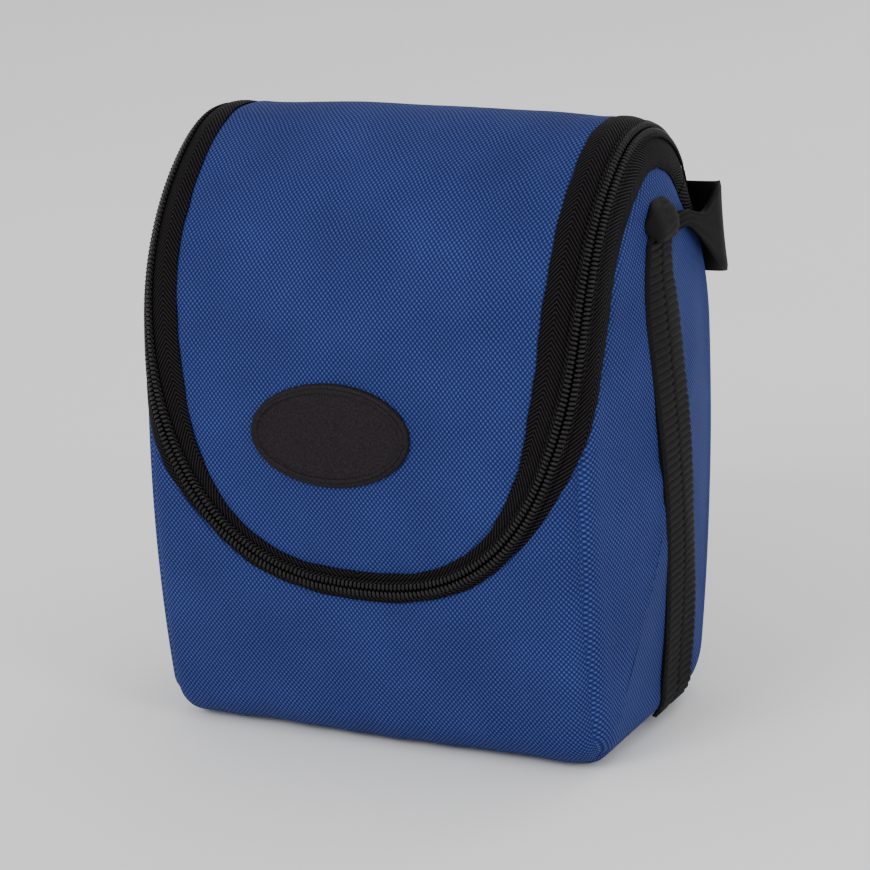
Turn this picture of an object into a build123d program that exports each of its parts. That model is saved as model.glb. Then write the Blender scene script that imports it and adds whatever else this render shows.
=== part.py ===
"""Soft padded carry case for a table-top telescope.

Millimetres, +Z up, front towards -Y. The origin is on the floor plane, under the flat base.
The wall is three layers (outer fabric, foam, lining) round one hollow. A U-shaped zip frees
the front and top as a flap that hinges at the top of the back.
"""
from build123d import *
from math import asin, cos, radians, sin
import os

# Overall size
HEIGHT = 210.0
HALF_WIDTH = 85.0          # half width at the edges of the side panels
SIDE_BULGE = 7.0           # how far the middle of a side panel stands beyond its edges
FRONT_Y = -64.0            # foremost point of the front
EDGE_RADIUS = 13.0         # soft edge between the side panels and the rest
CROWN_Y = -8.0             # middle of that bulge, a cap of an ellipsoid
CROWN_Z = 96.0
CROWN_SINK = 9.0           # depth of the ellipsoid's middle below the side
CROWN_DEPTH = 52.0
CROWN_HEIGHT = 92.0
CROWN_LAP = 0.2

# Side profile, as a chain of tangent arcs. An angle is that of the outward normal,
# turned from the back (+Y) towards the top (+Z).
BASE_FRONT_RADIUS = 16.0
SHOULDER_RADIUS = 84.0
CROWN_RADIUS = 37.0
BACK_TOP_RADIUS = 80.0
BASE_BACK_RADIUS = 22.0
FRONT_LOW_ANGLE = 188.0
FRONT_HIGH_ANGLE = 170.0
CROWN_FRONT_ANGLE = 122.0
SLOPE_ANGLE = 28.0         # the straight slope behind the top
BACK_LOW_ANGLE = -16.0
SLOPE_LENGTH = 26.0        # length of that slope, where the zip ends
TAIL_TURN = 18.0           # degrees by which the zip turns inwards on the slope

# Wall layers, as depths below the outer surface
FABRIC = 1.2
STIFFENER_TOP = 4.2
FOAM = 5.7
LINING = 6.5
BINDING = 7.5
BASE_SEAM_Z = 8.0          # the base tray turns up this far
BASE_BINDING_LOW = 7.5         # the tape over that seam inside covers this height
BASE_BINDING_HIGH = 20.5
SIDE_SPLIT = 1.0           # an inner layer is split this far inside its side wall

# Zip, as half widths seen from the front and the lowest point of each line
PANEL_EDGE = (69.0, 65.7)      # flap fabric meets the tape
COIL_INNER = (77.8, 63.9)
ZIP_LINE = (81.2, 60.2)        # where the two coil rows meet
COIL_OUTER = (84.9, 56.4)
TAPE_OUTER = (96.0, 55.6)
ZIP_STRAIGHT_Z = 179.0         # the sides are straight above this height
ZIP_BOTTOM_TURN = 24.0         # degrees turned by the shallow arc at the bottom
ZIP_SIDE_TURN = 22.0           # degrees turned by the long arc at each side
ZIP_SIDE_RADIUS = 190.0
COIL_RISE = 1.2
COIL_DEPTH = 6.8               # the coil stops this far behind the front at the sides
TAPE_DEPTH = 15.0              # and the tape stops here, on the side panel
GAP = 0.4                      # clearance between pieces of different bodies
HINGE_RISE = 1.6               # hinge axis above the outer surface

# Badge
BADGE_WIDTH = 60.0
BADGE_HEIGHT = 35.0
BADGE_THICK = 2.8
BADGE_CENTRE = (-7.5, 112.5)
BADGE_TILT = 2.0               # degrees by which its right end is higher
BADGE_RIM = 1.2
BADGE_RIM_INSET = 2.0
BADGE_RIM_STEP = 0.6

# Side webbing and its loops
WEBBING_WIDTH = 25.0
WEBBING_THICK = 1.4
WEBBING_Y = -3.0
WEBBING_TOP = 186.0
LOOP_Z = 174.0
LOOP_X = 84.8
LOOP_RADIUS = 7.0
LOOP_FRONT = -12.0
LOOP_BACK = 9.0
STRAP_END_HEIGHT = 5.0
STRAP_END_THICK = 2.2
STRAP_END_X = 88.3
STRAP_END_BACK = 11.0
STRAP_END_LENGTH = 22.0
STRAP_END_ROUND = 0.88

# Carry strap
STRAP_X = 88.5
STRAP_THICK = 1.6
STRAP_WIDTH = 30.0
STRAP_NECK = 6.0
STRAP_FLARE_START = 4.0        # it widens from its neck between these distances
STRAP_FLARE_END = 34.0
STRAP_REACH = 46.0             # pivot to the stretch behind the case
STRAP_CORNER = 20.0
STRAP_DROOP = 14.0             # degrees by which its arms hang down
STRAP_LEAN = 10.0              # degrees by which its lower edge stands further back
PIVOT_Y = 16.0

# Zip slider and its pull tab, both on the slope at the left
SLIDER_LENGTH = 12.0
SLIDER_WIDTH = 11.0
SLIDER_PLATE = 1.4
SLIDER_SKIRT = 0.9
SLIDER_WALL = 1.0
SLIDER_AIR = 0.4               # gap between the plate and the coil
SLIDER_CORNER = 3.3
SKIRT_LENGTH = 4.8
BRIDGE_WIDTH = 3.0
BRIDGE_LENGTH = 8.4
BRIDGE_HEIGHT = 3.4
BRIDGE_BAR = 1.1
TAB_LENGTH = 12.6
TAB_WIDTH = 7.0
TAB_THICK = 1.4
TAB_CORNER = 1.4
TAB_HOLE_WIDTH = 4.2
TAB_HOLE_LENGTH = 5.4
TAB_HEAD = 1.1                 # tab left above its slot
STOP_LENGTH = 2.4
STOP_RISE = 1.4
STOP_MARGIN = 1.5              # tape left below the stop
STOP_WIDTH = 7.7

# Along each tail of the zip: its whole length, and where the slider's middle rests
TAIL_LENGTH = SLOPE_LENGTH / cos(radians(TAIL_TURN))
SLIDER_PLACE = TAIL_LENGTH - STOP_MARGIN - STOP_LENGTH - GAP - SLIDER_LENGTH / 2

FAR = 400.0                    # beyond the whole case


def normal(angle):
    """Unit vector (y, z) of an outward normal."""
    return Vector(cos(radians(angle)), sin(radians(angle)))


def closing_radii():
    """Radii of the front and back arcs that bring the chain to HEIGHT and back to the floor."""
    low = sin(radians(FRONT_LOW_ANGLE))
    high = sin(radians(FRONT_HIGH_ANGLE))
    crown = sin(radians(CROWN_FRONT_ANGLE))
    slope = sin(radians(SLOPE_ANGLE))
    back = sin(radians(-BACK_LOW_ANGLE))
    front_rise = HEIGHT - BASE_FRONT_RADIUS * (low + 1) - SHOULDER_RADIUS * (crown - high)
    front_rise -= CROWN_RADIUS * (1 - crown)
    drop = CROWN_RADIUS * (1 - slope) + SLOPE_LENGTH * cos(radians(SLOPE_ANGLE))
    back_rise = HEIGHT - drop - BACK_TOP_RADIUS * slope - BASE_BACK_RADIUS * (1 - back)
    return front_rise / (high - low), back_rise / back


FRONT_RADIUS, BACK_RADIUS = closing_radii()
CHAIN = (
    (BASE_FRONT_RADIUS, 270.0, FRONT_LOW_ANGLE),
    (FRONT_RADIUS, FRONT_LOW_ANGLE, FRONT_HIGH_ANGLE),
    (SHOULDER_RADIUS, FRONT_HIGH_ANGLE, CROWN_FRONT_ANGLE),
    (CROWN_RADIUS, CROWN_FRONT_ANGLE, SLOPE_ANGLE),
    (None, SLOPE_ANGLE, SLOPE_ANGLE),
    (BACK_TOP_RADIUS, SLOPE_ANGLE, 0.0),
    (BACK_RADIUS, 0.0, BACK_LOW_ANGLE),
    (BASE_BACK_RADIUS, BACK_LOW_ANGLE, -90.0),
)


def first_point():
    """Start of the chain on the floor, placed so that the front arc touches FRONT_Y."""
    toe = BASE_FRONT_RADIUS * normal(FRONT_LOW_ANGLE).X
    front = toe - FRONT_RADIUS * (normal(FRONT_LOW_ANGLE).X + 1)
    return Vector(FRONT_Y - front, 0)


def slope_start():
    """Point (y, z) where the crown meets the straight slope."""
    here = first_point()
    for radius, start, end in CHAIN[:4]:
        here = here + (normal(end) - normal(start)) * radius
    return here


def in_profile(point):
    return Vector(0, point.X, point.Y)


def profile(inset):
    """Face of the side profile in the YZ plane, moved inwards by inset."""
    here = first_point()
    edges = []
    for radius, start, end in CHAIN:
        if radius is None:
            there = here + Vector(sin(radians(start)), -cos(radians(start))) * SLOPE_LENGTH
            ends = [point - normal(start) * inset for point in (here, there)]
            edges.append(Edge.make_line(in_profile(ends[0]), in_profile(ends[1])))
        else:
            centre = here - normal(start) * radius
            angles = (start, (start + end) / 2, end)
            points = [in_profile(centre + normal(angle) * (radius - inset)) for angle in angles]
            edges.append(Edge.make_three_point_arc(*points))
            there = centre + normal(end) * radius
        here = there
    edges.append(Edge.make_line(edges[-1] @ 1, edges[0] @ 0))
    return Face(Wire(edges))


def profile_prism(inset):
    return extrude(profile(inset), amount=FAR, both=True)


def body_at(inset):
    """The whole case as one solid, with every wall moved inwards by inset."""
    half = HALF_WIDTH - inset
    prism = extrude(profile(inset), amount=half, both=True)
    side_edges = [edge for edge in prism.edges() if abs(edge.center().X) > half / 2]
    solid = fillet(side_edges, EDGE_RADIUS - inset)
    crown = Sphere(1)
    crown = scale(crown, by=(CROWN_SINK + SIDE_BULGE, CROWN_DEPTH, CROWN_HEIGHT))
    crown = Pos(half - CROWN_SINK, CROWN_Y, CROWN_Z) * crown
    crown = crown & block(x=(half - CROWN_LAP, FAR))
    return solid + crown + mirror(crown, about=Plane.YZ)


def u_prism(line):
    """Prism along Y whose outline is the U of the zip: (half width, lowest point)."""
    half, bottom = line
    turn_a = radians(ZIP_BOTTOM_TURN)
    turn_b = radians(90 - ZIP_SIDE_TURN)
    rise = ZIP_STRAIGHT_Z - bottom
    run = half - ZIP_SIDE_RADIUS * (1 - sin(turn_b))
    climb = rise - ZIP_SIDE_RADIUS * cos(turn_b)
    # Two unknown radii: the bottom arc and the corner arc
    a, b = sin(turn_a), sin(turn_b) - sin(turn_a)
    c, d = 1 - cos(turn_a), cos(turn_a) - cos(turn_b)
    bottom_radius = (run * d - climb * b) / (a * d - b * c)
    corner_radius = (run - bottom_radius * a) / b
    here = Vector(0, bottom)
    turned = 0.0
    edges = []
    for radius, end in ((bottom_radius, turn_a), (corner_radius, turn_b), (ZIP_SIDE_RADIUS, radians(90))):
        centre = here + Vector(-sin(turned), cos(turned)) * radius
        points = [here]
        for angle in ((turned + end) / 2, end):
            points.append(centre + Vector(sin(angle), -cos(angle)) * radius)
        edges.append(points)
        here = points[-1]
        turned = end
    right = [Edge.make_three_point_arc(*[Vector(p.X, 0, p.Y) for p in arc]) for arc in edges]
    left = [Edge.make_three_point_arc(*[Vector(-p.X, 0, p.Y) for p in arc]) for arc in edges]
    top = [(half, 0, ZIP_STRAIGHT_Z), (half, 0, FAR), (-half, 0, FAR), (-half, 0, ZIP_STRAIGHT_Z)]
    sides = [Edge.make_line(top[0], top[1]), Edge.make_line(top[1], top[2]), Edge.make_line(top[2], top[3])]
    return extrude(Face(Wire(right + left + sides)), amount=FAR, both=True)


SLOPE_START = slope_start()
SLOPE_NORMAL = normal(SLOPE_ANGLE)
SLOPE_DOWN = Vector(sin(radians(SLOPE_ANGLE)), -cos(radians(SLOPE_ANGLE)))


def tail_band(half_width):
    """Bands on both sides of the case, along the line of the zip on the slope."""
    down = Vector(0, SLOPE_DOWN.X, SLOPE_DOWN.Y)
    outward = Vector(0, SLOPE_NORMAL.X, SLOPE_NORMAL.Y)
    along = down * cos(radians(TAIL_TURN)) - Vector(1, 0, 0) * sin(radians(TAIL_TURN))
    origin = Vector(ZIP_LINE[0], SLOPE_START.X, SLOPE_START.Y)
    frame = Plane(origin=origin, x_dir=along, z_dir=outward)
    band = frame * Box(SLOPE_LENGTH * 4, half_width * 2, EDGE_RADIUS * 4)
    return band + mirror(band, about=Plane.YZ)


def behind(distance):
    """Everything behind a plane square to the slope, this far down the slope, and below it."""
    on_surface = SLOPE_START + SLOPE_DOWN * distance
    outside = on_surface + SLOPE_NORMAL * FAR
    inside = on_surface - SLOPE_NORMAL * (on_surface.X / SLOPE_NORMAL.X)
    corners = [inside, outside, Vector(FAR * 2, outside.Y), Vector(FAR * 2, -FAR), Vector(0, -FAR)]
    return extrude(Face(Wire.make_polygon([in_profile(p) for p in corners])), amount=FAR, both=True)


def block(x=(-FAR, FAR), y=(-FAR, FAR), z=(-FAR, FAR)):
    size = [high - low for low, high in (x, y, z)]
    middle = [(high + low) / 2 for low, high in (x, y, z)]
    return Pos(*middle) * Box(*size)


def one_solid(shape):
    """The largest solid of a shape, without slivers."""
    return max(shape.solids(), key=lambda solid: solid.volume)


def save(name, shape):
    solid = one_solid(shape)
    solid.label = name
    export_step(solid, f"parts/{name}.step")


def both_sides(name, shape_of_right):
    """Save a piece for the right (+X) and its mirror image for the left."""
    right = one_solid(shape_of_right)
    save(f"{name}_right", right)
    save(f"{name}_left", mirror(right, about=Plane.YZ))


# Solids that every wall layer is cut with
hinge_cut = behind(0)
hinge_cut_body = behind(GAP)
slope_end_cut = behind(SLOPE_LENGTH)
inner_prism_tape = profile_prism(TAPE_DEPTH)
inner_prism_coil = profile_prism(COIL_DEPTH)
flap_inner_zone = u_prism(PANEL_EDGE) - hinge_cut
flap_zone = u_prism((ZIP_LINE[0] - GAP / 2, ZIP_LINE[1] + GAP / 2)) - hinge_cut
coil_inner_zone = u_prism(COIL_INNER)
coil_outer_zone = u_prism(COIL_OUTER)
body_hole = u_prism((ZIP_LINE[0] + GAP / 2, ZIP_LINE[1] - GAP / 2))
zip_zone = u_prism(TAPE_OUTER) - hinge_cut_body - inner_prism_tape
tail_slab = (hinge_cut_body - slope_end_cut) - inner_prism_tape
tail_zone = tail_slab & tail_band(ZIP_LINE[0] - PANEL_EDGE[0])
case_inside_flap = body_hole - hinge_cut_body

surface = {}
for depth in (-BADGE_THICK, -WEBBING_THICK, -COIL_RISE, 0.0, FABRIC, STIFFENER_TOP, FOAM, LINING, BINDING):
    surface[depth] = body_at(depth)


def layer(outer, inner):
    return surface[outer] - surface[inner]


def wall_panels(outer, inner, suffix, base_inner=None):
    """Save the fixed panels of one wall layer: base, sides, front and back."""
    sheet = layer(outer, inner) - zip_zone - case_inside_flap - tail_zone
    above_base = sheet & block(z=(BASE_SEAM_Z, FAR))
    base = layer(outer, base_inner if base_inner else inner) & block(z=(-FAR, BASE_SEAM_Z))
    save(f"base_{suffix}", base)
    edge = min(ZIP_LINE[0], HALF_WIDTH - inner - SIDE_SPLIT)
    side = above_base & block(x=(edge, FAR))
    both_sides(f"side_{suffix}", side)
    middle = above_base & block(x=(-edge, edge))
    save(f"front_{suffix}", middle & block(y=(-FAR, 0)))
    save(f"back_{suffix}", middle & block(y=(0, FAR)))


def make_flap():
    for outer, inner, name in ((0.0, FABRIC, "panel"), (FABRIC, FOAM, "foam"), (FOAM, LINING, "lining")):
        save(f"flap_{name}", layer(outer, inner) & flap_inner_zone)
    save("flap_zip_tape", (layer(0.0, FABRIC) & flap_zone) - flap_inner_zone)
    save("flap_zip_coil", (layer(-COIL_RISE, 0.0) & flap_zone) - coil_inner_zone)


def oval(width, height):
    return Ellipse(width / 2, height / 2)


def make_badge():
    """An oval moulded badge that follows the front, with a raised line inside its edge."""
    plane = Plane(origin=(BADGE_CENTRE[0], 0, BADGE_CENTRE[1]), x_dir=(1, 0, 0), z_dir=(0, -1, 0))
    turned = plane * Rot(0, 0, BADGE_TILT)
    plate = turned * extrude(oval(BADGE_WIDTH, BADGE_HEIGHT), amount=FAR)
    shrink = BADGE_RIM_INSET * 2
    rim_outer = turned * extrude(oval(BADGE_WIDTH - shrink, BADGE_HEIGHT - shrink), amount=FAR)
    shrink += BADGE_RIM * 2
    rim_inner = turned * extrude(oval(BADGE_WIDTH - shrink, BADGE_HEIGHT - shrink), amount=FAR)
    low = body_at(-(BADGE_THICK - BADGE_RIM_STEP))
    save("badge", ((low - surface[0.0]) & plate) + ((layer(-BADGE_THICK, 0.0) & rim_outer) - rim_inner))


def make_case_zip():
    tape = (layer(0.0, FABRIC) & zip_zone) - body_hole
    save("body_zip_tape", tape)
    coil = (layer(-COIL_RISE, 0.0) & (coil_outer_zone - hinge_cut_body)) - body_hole - inner_prism_coil
    save("body_zip_coil", coil)
    right = block(x=(0, FAR))
    tail_tape = layer(0.0, FABRIC) & tail_zone & right
    both_sides("zip_tail_tape", tail_tape)
    coil_band = tail_band(ZIP_LINE[0] - COIL_INNER[0]) & right
    both_sides("zip_tail_coil", layer(-COIL_RISE, 0.0) & tail_slab & coil_band)


def make_bindings():
    """Tapes that cover the raw seams inside: round the base and along the hinge."""
    lip = layer(LINING, BINDING)
    save("base_seam_binding", lip & block(z=(BASE_BINDING_LOW, BASE_BINDING_HIGH)))
    strip = (lip & (behind(GAP * 2) - behind(SLOPE_LENGTH / 2))) & block(x=(-PANEL_EDGE[0], PANEL_EDGE[0]))
    save("hinge_seam_binding", strip)


def make_side_webbing():
    low = WEBBING_Y - WEBBING_WIDTH / 2
    band = block(x=(0, FAR), y=(low, low + WEBBING_WIDTH), z=(BASE_SEAM_Z, WEBBING_TOP))
    both_sides("side_webbing", layer(-WEBBING_THICK, 0.0) & band)
    length = LOOP_BACK - LOOP_FRONT
    along_y = Rot(90, 0, 0)
    middle = Pos(LOOP_X, (LOOP_BACK + LOOP_FRONT) / 2, LOOP_Z)
    ring = middle * along_y * Cylinder(LOOP_RADIUS, length)
    hole = middle * along_y * Cylinder(LOOP_RADIUS - WEBBING_THICK, length * 2)
    both_sides("webbing_loop", (ring - hole) - surface[-WEBBING_THICK])
    bar = Box(STRAP_END_THICK, STRAP_END_LENGTH, STRAP_END_HEIGHT)
    bar = fillet(bar.edges().filter_by(Axis.Y), STRAP_END_ROUND)
    place = Pos(STRAP_END_X, STRAP_END_BACK - STRAP_END_LENGTH / 2, LOOP_Z)
    both_sides("strap_end", place * bar)


def make_carry_strap():
    """One webbing strap: an arm each side that widens from its neck, and a stretch behind."""
    outer = STRAP_X + STRAP_THICK / 2
    inner = outer - STRAP_THICK
    reach = STRAP_REACH + STRAP_THICK / 2
    ribbon = fillet(Rectangle(outer * 2, reach * 2).vertices(), STRAP_CORNER)
    hollow = fillet(
        Rectangle(inner * 2, (reach - STRAP_THICK) * 2).vertices(),
        STRAP_CORNER - STRAP_THICK,
    )
    band = Rot(STRAP_LEAN, 0, 0) * extrude(ribbon - hollow, amount=STRAP_WIDTH * 2, both=True)
    neck, full = STRAP_NECK / 2, STRAP_WIDTH / 2
    upper = [(0, neck), (STRAP_FLARE_START, neck), (STRAP_FLARE_END, full), (reach * 2, full)]
    lower = [(y, -z) for y, z in reversed(upper)]
    side_view = Face(Wire.make_polygon([(0, y, z) for y, z in upper + lower]))
    arms = Rot(-STRAP_DROOP, 0, 0) * extrude(side_view, amount=FAR, both=True)
    ends = Rot(0, 90, 0) * Cylinder(neck, outer * 2)
    ends = ends & (band + block(x=(inner, outer)) + block(x=(-outer, -inner)))
    strap = Pos(0, PIVOT_Y, LOOP_Z) * ((band & arms) + ends)
    save("carry_strap", strap)


def zip_frame(distance, rise):
    """Frame this far along the left tail of the zip: x across it, y up it, z outwards."""
    sideways = sin(radians(TAIL_TURN))
    lengthways = cos(radians(TAIL_TURN))
    x = ZIP_LINE[0] - distance * sideways
    turn = asin((x - HALF_WIDTH + EDGE_RADIUS) / EDGE_RADIUS)
    depth = EDGE_RADIUS * (1 - cos(turn))
    point = SLOPE_START + SLOPE_DOWN * (distance * lengthways) - SLOPE_NORMAL * depth
    outward = Vector(-sin(turn), SLOPE_NORMAL.X * cos(turn), SLOPE_NORMAL.Y * cos(turn))
    aside = Vector(-cos(turn), -SLOPE_NORMAL.X * sin(turn), -SLOPE_NORMAL.Y * sin(turn))
    along = Vector(0, SLOPE_DOWN.X, SLOPE_DOWN.Y) * lengthways - aside * sideways
    origin = Vector(-x, point.X, point.Y) + outward * rise
    return Plane(origin=origin, x_dir=outward.cross(along), z_dir=outward)


def make_slider():
    """Slider at the low end of the left zip: a plate, two skirts and a bridge for the tab."""
    frame = zip_frame(SLIDER_PLACE, COIL_RISE + SLIDER_AIR)
    plate = Pos(0, 0, SLIDER_PLATE / 2) * Box(SLIDER_WIDTH, SLIDER_LENGTH, SLIDER_PLATE)
    plate = fillet(plate.edges().filter_by(Axis.Z), SLIDER_CORNER)
    skirt_x = SLIDER_WIDTH / 2 - SLIDER_WALL / 2
    wall = Box(SLIDER_WALL, SKIRT_LENGTH, SLIDER_SKIRT)
    skirts = Pos(skirt_x, 0, -SLIDER_SKIRT / 2) * wall + Pos(-skirt_x, 0, -SLIDER_SKIRT / 2) * wall
    bridge = Pos(0, 0, SLIDER_PLATE + BRIDGE_HEIGHT / 2) * Box(BRIDGE_WIDTH, BRIDGE_LENGTH, BRIDGE_HEIGHT)
    window = Box(BRIDGE_WIDTH * 2, BRIDGE_LENGTH - BRIDGE_BAR * 2, BRIDGE_HEIGHT - BRIDGE_BAR)
    window = Pos(0, 0, SLIDER_PLATE + (BRIDGE_HEIGHT - BRIDGE_BAR) / 2) * window
    save("zip_slider", frame * (plate + skirts + (bridge - window)))


def tab_frame():
    """Frame at the tab's pivot, inside the slider's bridge."""
    return zip_frame(SLIDER_PLACE, COIL_RISE + SLIDER_AIR + SLIDER_PLATE + GAP + TAB_THICK / 2)


def make_pull_tab():
    """A flat tab with a slot at its head, which hangs down the back from the slider."""
    blank = Pos(0, (TAB_HEAD - TAB_LENGTH) / 2, 0) * Box(TAB_WIDTH, TAB_LENGTH, TAB_THICK)
    blank = fillet(blank.edges().filter_by(Axis.Z), TAB_CORNER)
    hole = Box(TAB_HOLE_WIDTH, TAB_HOLE_LENGTH, TAB_THICK * 2)
    hole = Pos(0, -(TAB_HEAD + TAB_HOLE_LENGTH) / 2, 0) * hole
    save("pull_tab", tab_frame() * (blank - hole))


def make_end_stops():
    """A crimped stop at the lower end of each zip tail, as one shared piece."""
    stop = Pos(0, 0, STOP_RISE / 2) * Box(STOP_WIDTH, STOP_LENGTH, STOP_RISE)
    left = zip_frame(TAIL_LENGTH - STOP_MARGIN - STOP_LENGTH / 2, COIL_RISE) * stop
    save("zip_end_stop_left", left)
    save("zip_end_stop_right", mirror(one_solid(left), about=Plane.YZ))


def make_all():
    os.makedirs("parts", exist_ok=True)
    wall_panels(0.0, FABRIC, "panel")
    wall_panels(FABRIC, FOAM, "foam", base_inner=STIFFENER_TOP)
    wall_panels(FOAM, LINING, "lining")
    save("base_stiffener", layer(STIFFENER_TOP, FOAM) & block(z=(-FAR, BASE_SEAM_Z)))
    make_flap()
    make_badge()
    make_case_zip()
    make_bindings()
    make_side_webbing()
    make_carry_strap()
    make_slider()
    make_pull_tab()
    make_end_stops()
    axis = SLOPE_START + SLOPE_NORMAL * HINGE_RISE
    print("flap hinge", axis.X, axis.Y)
    pivot = tab_frame()
    print("tab pivot", pivot.origin, "axis", pivot.x_dir)
    print("slide axis", pivot.y_dir)


make_all()
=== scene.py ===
"""Looks of a soft padded telescope carry case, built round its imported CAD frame.

Lengths are in millimetres until a mesh is made. Most pieces are laid out on the wall of the case:
w runs across the front from the middle, s runs up the front, over the top and down the back,
and lift is the height above the wall. The side panels continue that wall with a soft crown.
"""
import math
import bmesh
import bpy
import numpy as np
from mathutils import Matrix, Vector


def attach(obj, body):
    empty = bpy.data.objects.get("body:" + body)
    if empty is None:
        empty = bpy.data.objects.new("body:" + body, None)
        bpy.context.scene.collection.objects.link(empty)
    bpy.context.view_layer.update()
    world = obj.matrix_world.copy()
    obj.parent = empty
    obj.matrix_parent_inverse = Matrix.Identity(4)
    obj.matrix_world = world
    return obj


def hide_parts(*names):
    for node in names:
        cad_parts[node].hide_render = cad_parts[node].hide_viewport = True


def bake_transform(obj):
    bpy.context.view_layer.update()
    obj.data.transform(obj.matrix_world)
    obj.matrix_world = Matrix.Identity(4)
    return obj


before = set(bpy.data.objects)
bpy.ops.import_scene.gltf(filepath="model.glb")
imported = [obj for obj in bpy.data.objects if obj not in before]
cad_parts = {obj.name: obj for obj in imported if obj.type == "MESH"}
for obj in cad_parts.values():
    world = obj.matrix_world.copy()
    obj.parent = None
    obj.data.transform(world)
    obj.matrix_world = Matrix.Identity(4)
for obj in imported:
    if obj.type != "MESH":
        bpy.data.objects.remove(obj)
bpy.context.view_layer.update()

MM = 0.001

# ---------------------------------------------------------------- the wall of the case
HEIGHT = 210.0
HALF_WIDTH = 85.0
FRONT_Y = -64.0
EDGE_RADIUS = 13.0
FLAT = HALF_WIDTH - EDGE_RADIUS
CORNER_END = FLAT + EDGE_RADIUS * math.pi / 2
CORNER_MIDDLE = FLAT + EDGE_RADIUS * math.pi / 4
SLOPE_LENGTH = 26.0
SLOPE_ANGLE = 28.0
CROWN = 7.0
CROWN_CENTRE = (-7.0, 98.0)
TAIL_TURN = math.radians(18.0)   # the zip turns inwards by this on the slope

# Layers, as depths below the wall
CLOTH = 1.2
FOAM = 5.7
BOARD_TOP = 4.2
BOARD_BOTTOM = 5.6
LINING = 6.5


def unit(angle):
    return np.array([math.cos(math.radians(angle)), math.sin(math.radians(angle))])


def wall_profile(step=0.25):
    """Side profile as a fine table: s, y, z and the outward normal, from tangent arcs."""
    low, high, crown, slope, back = 188.0, 170.0, 122.0, SLOPE_ANGLE, -16.0
    toe, shoulder, top, heel, foot = 16.0, 84.0, 37.0, 80.0, 22.0
    sine = lambda angle: math.sin(math.radians(angle))
    front_rise = HEIGHT - toe * (sine(low) + 1) - shoulder * (sine(crown) - sine(high))
    front = (front_rise - top * (1 - sine(crown))) / (sine(high) - sine(low))
    drop = top * (1 - sine(slope)) + SLOPE_LENGTH * math.cos(math.radians(slope))
    rear = (HEIGHT - drop - heel * sine(slope) - foot * (1 + sine(back))) / -sine(back)
    chain = [(toe, 270, low), (front, low, high), (shoulder, high, crown), (top, crown, slope),
             (None, slope, slope), (heel, slope, 0), (rear, 0, back), (foot, back, -90)]
    first_y = FRONT_Y - (toe * unit(low)[0] - front * (unit(low)[0] + 1))
    here = np.array([first_y, 0.0])
    rows, marks, travelled = [], [0.0], 0.0
    for radius, start, end in chain:
        length = SLOPE_LENGTH if radius is None else radius * math.radians(abs(start - end))
        for along in np.arange(0, length, step):
            if radius is None:
                point = here + np.array([unit(start)[1], -unit(start)[0]]) * along
                angle = start
            else:
                angle = start + (end - start) * along / length
                point = here + (unit(angle) - unit(start)) * radius
            rows.append((travelled + along, *point, *unit(angle)))
        if radius is None:
            here = here + np.array([unit(start)[1], -unit(start)[0]]) * length
        else:
            here = here + (unit(end) - unit(start)) * radius
        travelled += length
        marks.append(travelled)
    base = here[0] - first_y
    for along in np.arange(0, base, step):
        rows.append((travelled + along, here[0] - along, 0.0, 0.0, -1.0))
    rows.append((travelled + base, first_y, 0.0, 0.0, -1.0))
    return np.array(rows).T, marks


PROFILE, MARKS = wall_profile()
S_BASE = MARKS[8]              # the flat base starts here, at the back
S_TURN = PROFILE[0][-1]        # and ends here, at the front, where s starts again
S_HINGE = MARKS[4]
S_SLOPE_END = MARKS[5]
S_TOP = float(PROFILE[0][np.argmax(PROFILE[2])])


def at_height(z):
    """s of a point on the front at height z."""
    rising = PROFILE[0] < S_TOP
    return float(np.interp(z, PROFILE[2][rising], PROFILE[0][rising]))


def profile_at(s):
    s = np.mod(s, S_TURN)
    return [np.interp(s, PROFILE[0], row) for row in PROFILE[1:]]


def wall(w, s, lift):
    """Points of the wall at (w, s), raised by lift."""
    w, s, lift = np.broadcast_arrays(np.asarray(w, float), np.asarray(s, float), np.asarray(lift, float))
    y, z, ny, nz = profile_at(s)
    across = np.abs(w)
    turn = np.clip((across - FLAT) / EDGE_RADIUS, 0, math.pi / 2)
    over = np.maximum(across - CORNER_END, 0)
    x = np.minimum(across, FLAT) + (EDGE_RADIUS + lift) * np.sin(turn)
    depth = EDGE_RADIUS - (EDGE_RADIUS + lift) * np.cos(turn) + over
    return np.stack([np.where(w < 0, -x, x), y - depth * ny, z - depth * nz], axis=-1)


def inner_ring():
    """The line where the soft corner meets the side panel, as angle and distance from its middle."""
    s = np.linspace(0, S_TURN, 721)[:-1]
    y, z, ny, nz = profile_at(s)
    dy = y - EDGE_RADIUS * ny - CROWN_CENTRE[0]
    dz = z - EDGE_RADIUS * nz - CROWN_CENTRE[1]
    angle = np.unwrap(np.arctan2(dz, dy))
    order = np.argsort(np.mod(angle, 2 * math.pi))
    return np.mod(angle, 2 * math.pi)[order], np.hypot(dy, dz)[order]


RING_ANGLE, RING_REACH = inner_ring()


def crown_height(y, z):
    """How far the side panel bulges at (y, z)."""
    dy, dz = np.asarray(y) - CROWN_CENTRE[0], np.asarray(z) - CROWN_CENTRE[1]
    angle = np.mod(np.arctan2(dz, dy), 2 * math.pi)
    reach = np.interp(angle, RING_ANGLE, RING_REACH, period=2 * math.pi)
    rho = np.clip(np.hypot(dy, dz) / reach, 0, 1)
    return CROWN * (1 - rho ** 2) ** 1.25


# ---------------------------------------------------------------- softness of the cloth
def smooth(x, low, high):
    t = np.clip((np.asarray(x, float) - low) / (high - low), 0, 1)
    return t * t * (3 - 2 * t)


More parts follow.
